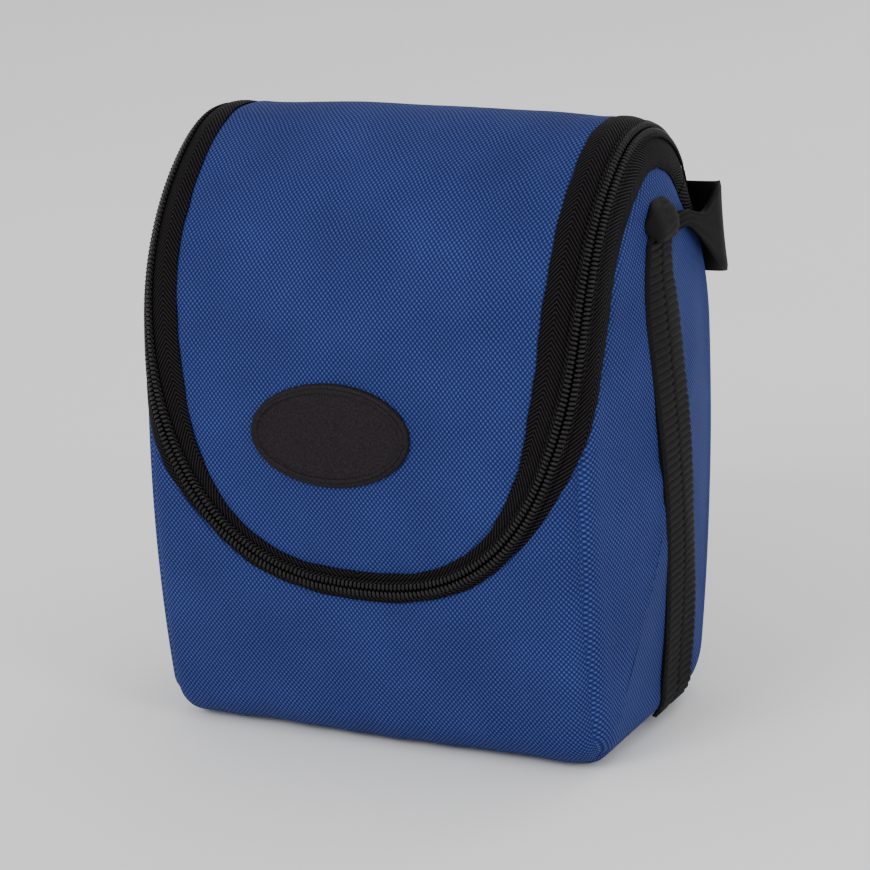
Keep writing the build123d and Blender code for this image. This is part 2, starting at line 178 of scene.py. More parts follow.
def ripple(w, s, seed=0.0):
    """Gentle unevenness of padded cloth, within about half a millimetre."""
    return 0.22 * np.sin(w / 23.0 + s / 31.0 + seed) + 0.16 * np.sin(w / 11.0 - s / 17.0 + 2 * seed) \
        + 0.10 * np.sin(w / 6.7 + s / 8.3 + 3 * seed)


def puckers(w, s):
    """Short upright puckers that run up from the base seam."""
    fade = np.exp(-np.maximum(s - 14, 0) / 26.0)
    return 0.45 * fade * (0.35 * np.sin(w / 3.1 + 0.8 * np.sin(w / 13.0)) + 0.25 * np.sin(w / 5.3 + 1.3))


def seam_dip(distance, depth=1.1, width=2.2):
    return -depth * np.exp(-(np.maximum(distance, 0) / width) ** 2)


# ---------------------------------------------------------------- mesh making
def new_object(name, points, faces, coords=None, material=None, sharp=48):
    mesh = bpy.data.meshes.new(name)
    mesh.from_pydata([tuple(p) for p in np.asarray(points) * MM], [], faces)
    mesh.update()
    if coords is not None:
        layer = mesh.attributes.new("cloth", "FLOAT_VECTOR", "POINT")
        layer.data.foreach_set("vector", np.asarray(coords, np.float32).ravel())
    mesh.polygons.foreach_set("use_smooth", [True] * len(mesh.polygons))
    mesh.set_sharp_from_angle(angle=math.radians(sharp))
    obj = bpy.data.objects.new(name, mesh)
    bpy.context.collection.objects.link(obj)
    if material:
        mesh.materials.append(material)
    return obj


def slab(name, outer, inner, coords, material, loop=False, cap=False):
    """Closed sheet between two grids of points. loop joins the last row to the first."""
    rows, cols = outer.shape[:2]
    count = rows * cols
    points = np.concatenate([outer.reshape(-1, 3), inner.reshape(-1, 3)])
    flat = np.concatenate([coords.reshape(-1, 2)] * 2)
    third = np.concatenate([np.zeros(count), np.ones(count)])
    faces = []
    last = rows if loop else rows - 1
    for i in range(last):
        a, b = i * cols, ((i + 1) % rows) * cols
        for j in range(cols - 1):
            faces.append((a + j, b + j, b + j + 1, a + j + 1))
            faces.append((count + a + j + 1, count + b + j + 1, count + b + j, count + a + j))
        faces.append((a, count + a, count + b, b))
        if not cap:
            faces.append((b + cols - 1, count + b + cols - 1, count + a + cols - 1, a + cols - 1))
    if not loop:
        for j in range(cols - 1):
            faces.append((j + 1, count + j + 1, count + j, j))
            k = (rows - 1) * cols + j
            faces.append((k, count + k, count + k + 1, k + 1))
    if cap:
        centre = [i * cols + cols - 1 for i in range(rows)]
        faces.append(tuple(centre))
        faces.append(tuple(count + k for k in reversed(centre)))
    obj = new_object(name, points, faces, np.column_stack([flat, third]), material)
    recalculate(obj)
    return obj


def tube_faces(rows, around, base=0):
    """Faces of a closed tube: rings of points in order, with a face over each end."""
    faces = []
    for i in range(rows - 1):
        low, high = base + i * around, base + (i + 1) * around
        for j in range(around):
            k = (j + 1) % around
            faces.append((low + j, low + k, high + k, high + j))
    faces.append(tuple(base + j for j in reversed(range(around))))
    faces.append(tuple(base + (rows - 1) * around + j for j in range(around)))
    return faces


def recalculate(obj):
    work = bmesh.new()
    work.from_mesh(obj.data)
    bmesh.ops.recalc_face_normals(work, faces=work.faces)
    work.to_mesh(obj.data)
    work.free()


# ---------------------------------------------------------------- materials
def nodes_of(name, rough, colour, sheen=0.0, specular=0.5, coat=0.0):
    material = bpy.data.materials.new(name)
    material.use_nodes = True
    tree = material.node_tree
    shader = tree.nodes["Principled BSDF"]
    shader.inputs["Base Color"].default_value = (*colour, 1)
    shader.inputs["Roughness"].default_value = rough
    shader.inputs["Specular IOR Level"].default_value = specular
    shader.inputs["Sheen Weight"].default_value = sheen
    shader.inputs["Sheen Roughness"].default_value = 0.5
    shader.inputs["Coat Weight"].default_value = coat
    return material, tree, shader


def add(tree, kind, **values):
    node = tree.nodes.new(kind)
    for key, value in values.items():
        setattr(node, key, value)
    return node


def maths(tree, operation, a, b=None):
    """A math node; a and b are sockets or numbers."""
    node = add(tree, "ShaderNodeMath", operation=operation)
    for slot, value in enumerate((a, b)):
        if value is None:
            continue
        if isinstance(value, (int, float)):
            node.inputs[slot].default_value = value
        else:
            tree.links.new(value, node.inputs[slot])
    return node.outputs[0]


def cloth_coords(tree):
    attribute = add(tree, "ShaderNodeAttribute", attribute_name="cloth")
    split = add(tree, "ShaderNodeSeparateXYZ")
    tree.links.new(attribute.outputs["Vector"], split.inputs[0])
    return attribute.outputs["Vector"], split.outputs[0], split.outputs[1]


def wave(tree, value, pitch):
    return maths(tree, "SINE", maths(tree, "MULTIPLY", value, 2 * math.pi / pitch))


def noise(tree, vector, scale, detail=3.0, rough=0.5):
    node = add(tree, "ShaderNodeTexNoise")
    node.inputs["Scale"].default_value = scale
    node.inputs["Detail"].default_value = detail
    node.inputs["Roughness"].default_value = rough
    tree.links.new(vector, node.inputs["Vector"])
    return node.outputs["Fac"]


def ramp(tree, fac, stops):
    node = add(tree, "ShaderNodeValToRGB")
    elements = node.color_ramp.elements
    while len(elements) < len(stops):
        elements.new(0.5)
    for element, (place, colour) in zip(elements, stops):
        element.position = place
        element.color = (*colour, 1)
    tree.links.new(fac, node.inputs[0])
    return node.outputs[0]


def mix_colour(tree, fac, a, b, blend="MIX"):
    node = add(tree, "ShaderNodeMix", data_type="RGBA", blend_type=blend)
    for socket, value in ((node.inputs[0], fac), (node.inputs[6], a), (node.inputs[7], b)):
        if isinstance(value, (int, float)):
            socket.default_value = value
        elif isinstance(value, tuple):
            socket.default_value = (*value, 1)
        else:
            tree.links.new(value, socket)
    return node.outputs[2]


def bump(tree, shader, height, distance, strength=1.0):
    node = add(tree, "ShaderNodeBump")
    node.inputs["Distance"].default_value = distance * MM
    node.inputs["Strength"].default_value = strength
    tree.links.new(height, node.inputs["Height"])
    tree.links.new(node.outputs[0], shader.inputs["Normal"])


def to_roughness(tree, shader, fac, low, high):
    node = add(tree, "ShaderNodeMapRange")
    node.inputs["To Min"].default_value = low
    node.inputs["To Max"].default_value = high
    tree.links.new(fac, node.inputs["Value"])
    tree.links.new(node.outputs[0], shader.inputs["Roughness"])


def woven_blue():
    """Heavy plain-weave polyester: raised dots in slanting rows, painted lighter where a yarn comes up
    (painted highlight) and darker between the dots (painted shade).
    """
    material, tree, shader = nodes_of("blue_weave", 0.8, BLUE, specular=0.08)
    vector, w, s = cloth_coords(tree)
    bend = maths(tree, "MULTIPLY", maths(tree, "SUBTRACT", noise(tree, vector, 0.05, 2.0), 0.5), 1.6)
    across = wave(tree, maths(tree, "ADD", w, bend), 1.62)
    along = wave(tree, maths(tree, "ADD", s, bend), 1.86)
    dots = maths(tree, "MULTIPLY", across, along)
    height = maths(tree, "MULTIPLY_ADD", dots, 0.5)
    height.node.inputs[2].default_value = 0.5
    fibre = noise(tree, vector, 2.6, 2.0)
    shade = maths(tree, "ADD", height, maths(tree, "MULTIPLY", maths(tree, "SUBTRACT", fibre, 0.5), 0.5))
    # Colour follows the dot height: painted shade in the hollows between the dots and painted highlight on
    # the raised dots, with random fibre tone mixed in.
    colour = ramp(tree, shade, [(0.1, tuple(c * 0.5 for c in BLUE)), (0.55, BLUE), (0.95, BLUE_PAINTED_HIGHLIGHT)])
    patch = noise(tree, vector, 0.03, 3.0)
    tint = ramp(tree, patch, [(0.3, (0.86, 0.86, 0.88)), (0.7, (1.1, 1.1, 1.08))])
    tree.links.new(mix_colour(tree, 1.0, colour, tint, "MULTIPLY"), shader.inputs["Base Color"])
    to_roughness(tree, shader, height, 0.82, 0.6)
    bump(tree, shader, height, 0.26, 0.9)
    return material


def herringbone_black():
    """Zip tape: fine slanting ribs that meet in a chevron down its middle."""
    material, tree, shader = nodes_of("zip_tape_black", 0.75, (0.006, 0.0055, 0.006), specular=0.05)
    vector, o, l = cloth_coords(tree)
    folded = maths(tree, "ABSOLUTE", maths(tree, "SUBTRACT", maths(tree, "ABSOLUTE", o), 8.4))
    slant = maths(tree, "ADD", l, maths(tree, "MULTIPLY", folded, 1.25))
    rib = wave(tree, slant, 1.7)
    yarn = wave(tree, maths(tree, "ADD", maths(tree, "ABSOLUTE", o), maths(tree, "MULTIPLY", l, 0.3)), 0.62)
    height = maths(tree, "MULTIPLY_ADD", rib, 0.4)
    height.node.inputs[2].default_value = 0.5
    height = maths(tree, "ADD", height, maths(tree, "MULTIPLY", yarn, 0.12))
    rough_noise = noise(tree, vector, 1.7, 3.0)
    centred = maths(tree, "SUBTRACT", rough_noise, 0.5)
    shade = maths(tree, "ADD", height, maths(tree, "MULTIPLY", centred, 0.5))
    # Colour follows the rib height: painted highlight on the rib tops and painted shade in the grooves, with
    # random yarn tone mixed in.
    stops = [(0.25, (0.001, 0.0009, 0.001)), (0.65, (0.006, 0.005, 0.006)), (1.0, (0.026, 0.022, 0.025))]
    colour = ramp(tree, shade, stops)
    tree.links.new(colour, shader.inputs["Base Color"])
    to_roughness(tree, shader, height, 0.75, 0.5)
    bump(tree, shader, height, 0.45, 1.0)
    return material


def webbing_black():
    """Ribbed webbing: the ribs are in the mesh, so this adds only the yarns."""
    material, tree, shader = nodes_of("webbing_black", 0.65, (0.006, 0.005, 0.006), specular=0.07)
    vector, w, s = cloth_coords(tree)
    yarn = wave(tree, w, 0.8)
    cross = wave(tree, s, 0.9)
    height = maths(tree, "MULTIPLY_ADD", maths(tree, "MULTIPLY", yarn, cross), 0.5)
    height.node.inputs[2].default_value = 0.5
    fuzz = noise(tree, vector, 1.2, 3.0)
    shade = maths(tree, "MULTIPLY", maths(tree, "ADD", height, fuzz), 0.5)
    # Colour follows the yarn height: painted highlight on the raised yarns and painted shade between them,
    # with random fuzz tone mixed in.
    colour = ramp(tree, shade, [(0.3, (0.0025, 0.002, 0.0024)), (0.75, (0.010, 0.0085, 0.0095))])
    tree.links.new(colour, shader.inputs["Base Color"])
    to_roughness(tree, shader, fuzz, 0.5, 0.7)
    bump(tree, shader, height, 0.1, 0.7)
    return material


def strap_black():
    """Smooth close-woven strap with a dull sheen."""
    material, tree, shader = nodes_of("strap_black", 0.65, (0.004, 0.0035, 0.004), specular=0.03)
    vector, w, s = cloth_coords(tree)
    weave = maths(tree, "MULTIPLY", wave(tree, w, 0.7), wave(tree, s, 0.5))
    height = maths(tree, "MULTIPLY_ADD", weave, 0.5)
    height.node.inputs[2].default_value = 0.5
    fuzz = noise(tree, vector, 0.4, 3.0)
    colour = ramp(tree, fuzz, [(0.3, (0.0022, 0.0018, 0.0021)), (0.7, (0.0055, 0.0045, 0.005))])
    tree.links.new(colour, shader.inputs["Base Color"])
    to_roughness(tree, shader, fuzz, 0.45, 0.62)
    bump(tree, shader, height, 0.05, 0.6)
    return material


def teeth_black():
    """Dyed nylon coil, slightly glossy."""
    material, tree, shader = nodes_of("zip_teeth_black", 0.42, (0.006, 0.0055, 0.006), specular=0.22)
    position = add(tree, "ShaderNodeTexCoord").outputs["Object"]
    fuzz = noise(tree, position, 900.0, 2.0)
    colour = ramp(tree, fuzz, [(0.3, (0.004, 0.0035, 0.004)), (0.7, (0.012, 0.010, 0.011))])
    tree.links.new(colour, shader.inputs["Base Color"])
    to_roughness(tree, shader, fuzz, 0.3, 0.5)
    return material


def badge_black():
    """Moulded soft plastic with a fine sandy grain."""
    material, tree, shader = nodes_of("badge_grain", 0.65, (0.011, 0.0085, 0.0105), specular=0.08)
    position = add(tree, "ShaderNodeTexCoord").outputs["Object"]
    grain = noise(tree, position, 1500.0, 3.0, 0.7)
    patch = noise(tree, position, 90.0, 2.0)
    colour = ramp(tree, grain, [(0.35, (0.0075, 0.0058, 0.007)), (0.7, (0.019, 0.015, 0.018))])
    tree.links.new(colour, shader.inputs["Base Color"])
    to_roughness(tree, shader, patch, 0.48, 0.62)
    bump(tree, shader, grain, 0.12, 0.6)
    return material


def lining_black():
    """Thin smooth lining with a faint crosswise weave and soft creases."""
    material, tree, shader = nodes_of("lining_black", 0.6, (0.014, 0.014, 0.016), sheen=0.1)
    vector, w, s = cloth_coords(tree)
    weave = maths(tree, "MULTIPLY", wave(tree, w, 0.9), wave(tree, s, 0.9))
    crease = noise(tree, vector, 0.12, 3.0)
    height = maths(tree, "ADD", maths(tree, "MULTIPLY", weave, 0.06), crease)
    # Colour follows the crease noise that also shapes the bump: painted shade in the crease hollows, lighter
    # on the ridges.
    colour = ramp(tree, crease, [(0.3, (0.010, 0.010, 0.0115)), (0.7, (0.020, 0.020, 0.0225))])
    tree.links.new(colour, shader.inputs["Base Color"])
    to_roughness(tree, shader, crease, 0.55, 0.7)
    bump(tree, shader, height, 0.8, 0.5)
    return material


def foam_grey():
    """Closed-cell foam with fine pores."""
    material, tree, shader = nodes_of("foam_grey", 0.9, (0.11, 0.11, 0.115))
    position = add(tree, "ShaderNodeTexCoord").outputs["Object"]
    pores = add(tree, "ShaderNodeTexVoronoi")
    pores.inputs["Scale"].default_value = 1400.0
    tree.links.new(position, pores.inputs["Vector"])
    # Colour follows the pore distance that also shapes the bump: painted shade darkens the pore hollows.
    colour = ramp(tree, pores.outputs["Distance"], [(0.1, (0.05, 0.05, 0.052)), (0.5, (0.13, 0.13, 0.136))])
    tree.links.new(colour, shader.inputs["Base Color"])
    bump(tree, shader, pores.outputs["Distance"], 0.2, 0.5)
    return material


def metal_black():
    """Black enamelled zip metal, a little worn."""
    material, tree, shader = nodes_of("zip_metal_black", 0.3, (0.012, 0.012, 0.013), specular=0.6)
    position = add(tree, "ShaderNodeTexCoord").outputs["Object"]
    wear = noise(tree, position, 260.0, 4.0)
    colour = ramp(tree, wear, [(0.35, (0.009, 0.009, 0.010)), (0.72, (0.028, 0.028, 0.030))])
    tree.links.new(colour, shader.inputs["Base Color"])
    to_roughness(tree, shader, wear, 0.24, 0.42)
    bump(tree, shader, wear, 0.03, 0.4)
    shader.inputs["Metallic"].default_value = 0.6
    return material


def board_black():
    """Stiff fibre board with a mottled face."""
    material, tree, shader = nodes_of("board_black", 0.8, (0.03, 0.03, 0.03))
    position = add(tree, "ShaderNodeTexCoord").outputs["Object"]
    fibres = noise(tree, position, 500.0, 4.0)
    colour = ramp(tree, fibres, [(0.35, (0.022, 0.022, 0.022)), (0.7, (0.045, 0.044, 0.042))])
    tree.links.new(colour, shader.inputs["Base Color"])
    bump(tree, shader, fibres, 0.1, 0.5)
    return material


def floor_white():
    material, tree, shader = nodes_of("floor_pale", 0.7, (0.86, 0.86, 0.86), specular=0.2)
    position = add(tree, "ShaderNodeTexCoord").outputs["Object"]
    mottle = noise(tree, position, 4.0, 2.0)
    colour = ramp(tree, mottle, [(0.3, (0.85, 0.85, 0.85)), (0.7, (0.87, 0.87, 0.87))])
    tree.links.new(colour, shader.inputs["Base Color"])
    return material


BLUE = (0.0135, 0.0245, 0.118)
# Lighter blue put on the raised dots of the weave: a painted highlight.
BLUE_PAINTED_HIGHLIGHT = (0.052, 0.080, 0.265)
weave = woven_blue()
tape_cloth = herringbone_black()
webbing = webbing_black()
strap_cloth = strap_black()
nylon = teeth_black()
moulding = badge_black()
lining = lining_black()
foam = foam_grey()
metal = metal_black()
board = board_black()

# ---------------------------------------------------------------- the line of the zip
ZIP_W = CORNER_MIDDLE
ZIP_STRAIGHT = at_height(179.0)
ZIP_BOTTOM = at_height(60.2)
ZIP_POWER = 2.5
TAPE_FLAP = 13.0               # flap tape reaches this far inwards from the line at the sides
TAPE_FLAP_BOTTOM = 5.4         # and this far at the bottom of the U
TAPE_SIDE = 13.4               # the body tape reaches this far outwards at the sides
TAPE_BOTTOM = 4.2              # and this far at the bottom of the U
COIL = 2.7                     # width of one row of the coil
CORD_HALF_WIDTH = 0.75         # the cord beside each row
CORD_HALF_HEIGHT = 0.42
STITCH = 1.9
TAPE_LIFT = 0.15
ZIP_EASE = 7.0                 # the turn inwards is spread this far to each side of the hinge


def zip_w(s):
    """w of the zip above its curve: straight up, then turned inwards behind the top."""
    past = np.asarray(s, float) - S_HINGE
    bend = np.maximum(past + ZIP_EASE, 0) ** 2 / (4 * ZIP_EASE)
    return ZIP_W - np.where(past < ZIP_EASE, bend, past) * math.tan(TAIL_TURN)


def zip_line(step=0.5):
    """Right half of the zip from the bottom of the U to its rear end: length, w, s and normal."""
    phi = np.linspace(0, math.pi / 2, 4001)
    w = ZIP_W * np.sin(phi) ** (2 / ZIP_POWER)
    s = ZIP_STRAIGHT - (ZIP_STRAIGHT - ZIP_BOTTOM) * np.cos(phi) ** (2 / ZIP_POWER)
    straight = np.arange(step, S_SLOPE_END - ZIP_STRAIGHT + step / 2, step)
    s = np.append(s, ZIP_STRAIGHT + straight)
    w = np.append(w, zip_w(ZIP_STRAIGHT + straight))
    length = np.append(0, np.cumsum(np.hypot(np.diff(w), np.diff(s))))
    even = np.linspace(0, length[-1], int(length[-1] / step))
    w, s = np.interp(even, length, w), np.interp(even, length, s)
    dw, ds = np.gradient(w), np.gradient(s)
    size = np.hypot(dw, ds)
    return even, w, s, ds / size, -dw / size


ZIP_L, ZIP_WS, ZIP_SS, ZIP_NW, ZIP_NS = zip_line()
ZIP_END = float(ZIP_L[-1])
ZIP_HINGE = float(np.interp(S_HINGE, ZIP_SS, ZIP_L))


def along_zip(l):
    """Place and outward normal on the zip line; l is negative on the left half."""
    l = np.asarray(l, float)
    side = np.where(l < 0, -1.0, 1.0)
    reach = np.abs(l)
    w, s, nw, ns = [np.interp(reach, ZIP_L, row) for row in (ZIP_WS, ZIP_SS, ZIP_NW, ZIP_NS)]
    return side * w, s, side * nw, ns


def on_zip(o, l, lift):
    """Points beside the zip line: o outwards from it, l along it."""
    w, s, nw, ns = along_zip(l)
    return wall(w + o * nw, s + o * ns, lift)


def tape_reach(l):
    """Width of the body tape, narrow at the bottom of the U."""
    return TAPE_BOTTOM + (TAPE_SIDE - TAPE_BOTTOM) * smooth(np.abs(l), 55, 150)


def flap_reach(l):
    """Width of the flap tape, narrow at the bottom of the U."""
    return TAPE_FLAP_BOTTOM + (TAPE_FLAP - TAPE_FLAP_BOTTOM) * smooth(np.abs(l), 35, 135)


def tape_edge_w(s):
    """w of the body tape's outer edge at s, on the right."""
    reach = tape_reach(ZIP_L)
    edge_w = ZIP_WS + reach * ZIP_NW
    edge_s = ZIP_SS + reach * ZIP_NS
    return np.interp(s, np.maximum.accumulate(edge_s), edge_w)


# ---------------------------------------------------------------- cloth panels, padding and linings
S_BADGE = at_height(112.5)
FLAP_LIP = 4.0                 # the flap's cloth runs on under the back panel
UNDER_TAPE = 1.2               # cloth under a zip tape lies this deep
LAP = 1.4                      # and every cloth this far under a zip tape
HINGE_GAP = 0.8                # panels and linings stop this far from the hinge line
PAD_HINGE_GAP = 4.5            # and the flap's foam this far, so that it can fold
PAD_SKIN = 0.1                 # gap between a cloth and the foam under it
LINING_THICK = 0.7
UNDER_FOAM = FOAM + 0.05       # depth of a lining's outer face
LINING_LINE = COIL + 1.2       # a lining ends this far from the zip line
S_ZIP_START = 60.0             # s where the body tape first reaches the side panels
ZIP_MEET = (S_SLOPE_END - 4.5, S_SLOPE_END - 0.8)   # side and back cloth close up under the tape's end
PANEL_DIP = (1.2, 2.4)         # depth and width of the dip along a corner seam
HEM_DIP = (0.8, 2.0)           # and along a seam of the base
PAD_EDGE = 1.6                 # foam stops this far inside a seam


def flap_grid(inset, top_s, top_w, rows=90, cols=121):
    """Grid of (w, s) over the flap, inside a line that runs beside the zip."""
    reach = np.interp(ZIP_STRAIGHT, ZIP_SS, ZIP_L)
    l = np.linspace(-reach, reach, cols)
    w, s, nw, ns = along_zip(l)
    low_w, low_s = w - inset(l) * nw, s - inset(l) * ns
    high_w = np.linspace(-top_w, top_w, cols)
    t = np.linspace(0, 1, rows)[:, None]
    ease = t ** 1.15
    grid_w = low_w * (1 - ease) + high_w * ease
    grid_s = low_s * (1 - ease) + top_s * ease
    return grid_w, grid_s, inside_tape(grid_w, grid_s)


def inside_tape(w, s):
    """Distance of points on the flap from the inner edge of its tape."""
    line_w, line_s = ZIP_WS[::6], ZIP_SS[::6]
    gap = np.hypot(np.abs(w)[..., None] - line_w, s[..., None] - line_s)
    nearest = gap.argmin(axis=-1)
    return gap.min(axis=-1) - flap_reach(ZIP_L[::6][nearest])


def flap_lift(w, s, inside):
    """Soft outer surface of the flap: crowned, uneven, and drawn down to its zip seam."""
    fill = smooth(inside, 0, 26)
    crown = 1.1 * fill * (1 - (w / HALF_WIDTH) ** 2)
    seam = seam_dip(inside + 0.8, 1.0, 1.6)
    drawn = 0.22 * np.exp(-((inside - 4) / 4.5) ** 2) * np.sin(s / 2.9 + w / 3.7)
    hinge = seam_dip(np.abs(s - S_HINGE), 0.8, 2.0) + np.where(s > S_HINGE, -1.0, 0.0)
    return crown + ripple(w, s) * fill + seam + drawn + hinge


def flap_pieces():
    cloth_line = lambda l: flap_reach(l) - LAP
    w, s, inside = flap_grid(cloth_line, S_HINGE + FLAP_LIP, ZIP_W - TAPE_FLAP + LAP)
    lift = flap_lift(w, s, inside)
    coords = np.stack([w, s], axis=-1)
    cloth = slab("flap_cloth", wall(w, s, lift), wall(w, s, lift - CLOTH), coords, weave)
    pad_line = lambda l: flap_reach(l) + PAD_EDGE
    w, s, inside = flap_grid(pad_line, S_HINGE - PAD_HINGE_GAP, ZIP_W - TAPE_FLAP - PAD_EDGE, 60, 81)
    lift = flap_lift(w, s, inside + 4)
    coords = np.stack([w, s], axis=-1)
    pad = slab("flap_padding", wall(w, s, lift - CLOTH - PAD_SKIN), wall(w, s, -FOAM), coords, foam)
    lining_line = lambda l: LINING_LINE + 0 * l
    w, s, inside = flap_grid(lining_line, S_HINGE - HINGE_GAP, ZIP_W - LINING_LINE, 70, 101)
    tuck = smooth(inside, -1.5, PAD_EDGE - 0.2) * smooth(S_HINGE - s, 0.8, 3.6)
    top = -1.3 - 1.6 * smooth(inside, -6, -2.5) - (UNDER_FOAM - 2.9) * tuck
    sag = 0.3 * np.sin(w / 14.0 + s / 9.0) * tuck
    coords = np.stack([w, s], axis=-1)
    bottom = top - LINING_THICK - np.abs(sag)
    inside_cloth = slab("flap_lining_cloth", wall(w, s, top), wall(w, s, bottom), coords, lining)
    return cloth, pad, inside_cloth


def side_grid(sign, seam_w, lift_fn, cols=420, rows=12, rings=30, stop=0.04):
    """Grid of a side panel: round the profile, then in from its seam to the middle."""
    s = np.linspace(0, S_TURN, cols, endpoint=False)
    t = np.linspace(0, 1, rows)[None, :] ** 1.4
    start = seam_w(s)[:, None]
    end = np.maximum(start, CORNER_END + 3.2)
    w = start + (end - start) * t
    points = wall(w, s[:, None], lift_fn(w, s[:, None]))
    y0, z0, ny, nz = profile_at(s)
    depth = EDGE_RADIUS + (end[:, 0] - CORNER_END)
    ring_y, ring_z = y0 - depth * ny, z0 - depth * nz
    points[..., 0] += crown_height(points[..., 1], points[..., 2]) * (w > CORNER_END)
    rho = np.linspace(1, stop, rings)[1:]
    dy = CROWN_CENTRE[0] + rho[None, :] * (ring_y - CROWN_CENTRE[0])[:, None]
    dz = CROWN_CENTRE[1] + rho[None, :] * (ring_z - CROWN_CENTRE[1])[:, None]
    reach = np.hypot(ring_y - CROWN_CENTRE[0], ring_z - CROWN_CENTRE[1])[:, None]
    inner_w = end + (1 - rho[None, :]) * reach
    lift = lift_fn(inner_w, s[:, None])
    x = HALF_WIDTH + crown_height(dy, dz) + lift
    points = np.concatenate([points, np.stack([x, dy, dz], axis=-1)], axis=1)
    points[..., 0] *= sign
    return points


def body_seam_w(s):
    """Where the side panel's cloth starts: under the tape, or at the seam in the corner."""
    zipped = (s > S_ZIP_START) & (s < S_SLOPE_END)
    under = tape_edge_w(s) - LAP
    fade = 1 - smooth(s, *ZIP_MEET)
    return np.where(zipped, np.maximum(ZIP_W, ZIP_W + (under - ZIP_W) * fade), ZIP_W)


def side_cloth_lift(w, s):
    """Outer surface of a side panel: drawn in at its seams, with creases below the strap loop."""
    start = body_seam_w(np.asarray(s, float))
    zipped = smooth(s, S_SLOPE_END + 1.5, S_SLOPE_END) * (np.asarray(s) > S_ZIP_START)
    hidden = smooth(w, tape_edge_w(s) + 0.6, tape_edge_w(s) - 1) * zipped
    dip = seam_dip(w - start, *PANEL_DIP)
    soft = ripple(s * 0.8, w * 1.1, 2.0) * smooth(w - start, 2, 18)
    pulled = 0.5 * np.exp(-((w - start - 9) / 7.0) ** 2) * np.sin(s / 9.0) * smooth(s, S_TURN - 90, S_TURN)
    return (dip + soft + pulled) * (1 - hidden) - UNDER_TAPE * hidden


def side_pieces(sign, word):
    pieces = []
    outer = side_grid(sign, body_seam_w, side_cloth_lift)
    inner = side_grid(sign, body_seam_w, lambda w, s: side_cloth_lift(w, s) - CLOTH)
    coords = np.stack([outer[..., 1] * sign + 3, outer[..., 2]], axis=-1)
    pieces.append(slab(f"side_cloth_{word}", outer, inner, coords, weave, loop=True, cap=True))
    pad_seam = lambda s: np.maximum(body_seam_w(s) + PAD_EDGE + 1.4, CORNER_MIDDLE + 1)
    outer = side_grid(sign, pad_seam, lambda w, s: side_cloth_lift(w, s) - CLOTH - PAD_SKIN, 240, 5, 16)
    inner = side_grid(sign, pad_seam, lambda w, s: -FOAM + 0 * w * s, 240, 5, 16)
    coords = np.stack([outer[..., 1], outer[..., 2]], axis=-1)
    pieces.append(slab(f"side_padding_{word}", outer, inner, coords, foam, loop=True, cap=True))
    return pieces


def lining_seam(s):
    """The lining runs on past the padding to the tape, except where there is no zip."""
    zipped = (s > S_ZIP_START) & (s < S_SLOPE_END)
    return np.where(zipped, np.maximum(ZIP_W, tape_line_w(s)), ZIP_W)


def tape_line_w(s):
    """w of a line just outside the body coil, on the right."""
    edge_w = ZIP_WS + LINING_LINE * ZIP_NW
    edge_s = ZIP_SS + LINING_LINE * ZIP_NS
    return np.interp(s, np.maximum.accumulate(edge_s), edge_w)


def side_lining(sign, word):
    def lift(w, s):
        start = lining_seam(np.asarray(s, float))
        pad = body_seam_w(np.asarray(s, float)) + PAD_EDGE + 2.4
        tuck = smooth(w, start, np.maximum(pad, start + 1))
        zipped = (s > S_ZIP_START) & (s < S_SLOPE_END)
        return np.where(zipped, -2.4 - (UNDER_FOAM - 2.4) * tuck, -UNDER_FOAM)
    outer = side_grid(sign, lining_seam, lift, 300, 8, 16)
    inner = side_grid(sign, lining_seam, lambda w, s: lift(w, s) - LINING_THICK, 300, 8, 16)
    coords = np.stack([outer[..., 1], outer[..., 2]], axis=-1)
    return slab(f"side_lining_{word}", outer, inner, coords, lining, loop=True, cap=True)


def front_top(w, offset):
    """s of the line this far outside the zip, for every w across the front."""
    reach = tape_reach(ZIP_L) + offset
    edge_w = ZIP_WS + reach * ZIP_NW
    edge_s = ZIP_SS + reach * ZIP_NS
    return np.interp(np.abs(w), edge_w, edge_s)


S_BASE_FRONT = 6.0             # the base cloth turns up to here at the front
S_BASE_BACK = S_BASE - 8.0     # and to here at the back


def front_lift(w, s):
    top = front_top(w, 0.0)
    fill = smooth(s, S_BASE_FRONT, S_BASE_FRONT + 22) * smooth(top - s, -1, 16)
    side = ZIP_W - np.abs(w)
    crown = 1.3 * fill * (1 - (w / HALF_WIDTH) ** 2)
    soft = ripple(w, s, 1.0) * smooth(side, 0, 12)
    dips = seam_dip(side, *PANEL_DIP) + seam_dip(s - S_BASE_FRONT, *HEM_DIP)
    dips += seam_dip(top - s + 0.8, 1.0, 1.6)
    return crown + soft + dips + puckers(w, s) * smooth(s, 3, 12)


def front_panel_piece(name, depth_out, depth_in, edge, material, rows=70, cols=141):
    w = np.linspace(-ZIP_W + edge, ZIP_W - edge, cols)[None, :]
    low = S_BASE_FRONT + edge
    high = front_top(w, edge - LAP)
    t = np.linspace(0, 1, rows)[:, None]
    s = low + (high - low) * t
    w = np.broadcast_to(w, s.shape)
    lift = front_lift(w, s)
    outer = lift - depth_out if depth_out < FOAM else np.full(s.shape, -depth_out)
    inner = lift - depth_in if depth_in < FOAM else np.full(s.shape, -depth_in)
    return slab(name, wall(w, s, outer), wall(w, s, inner), np.stack([w, s], axis=-1), material)


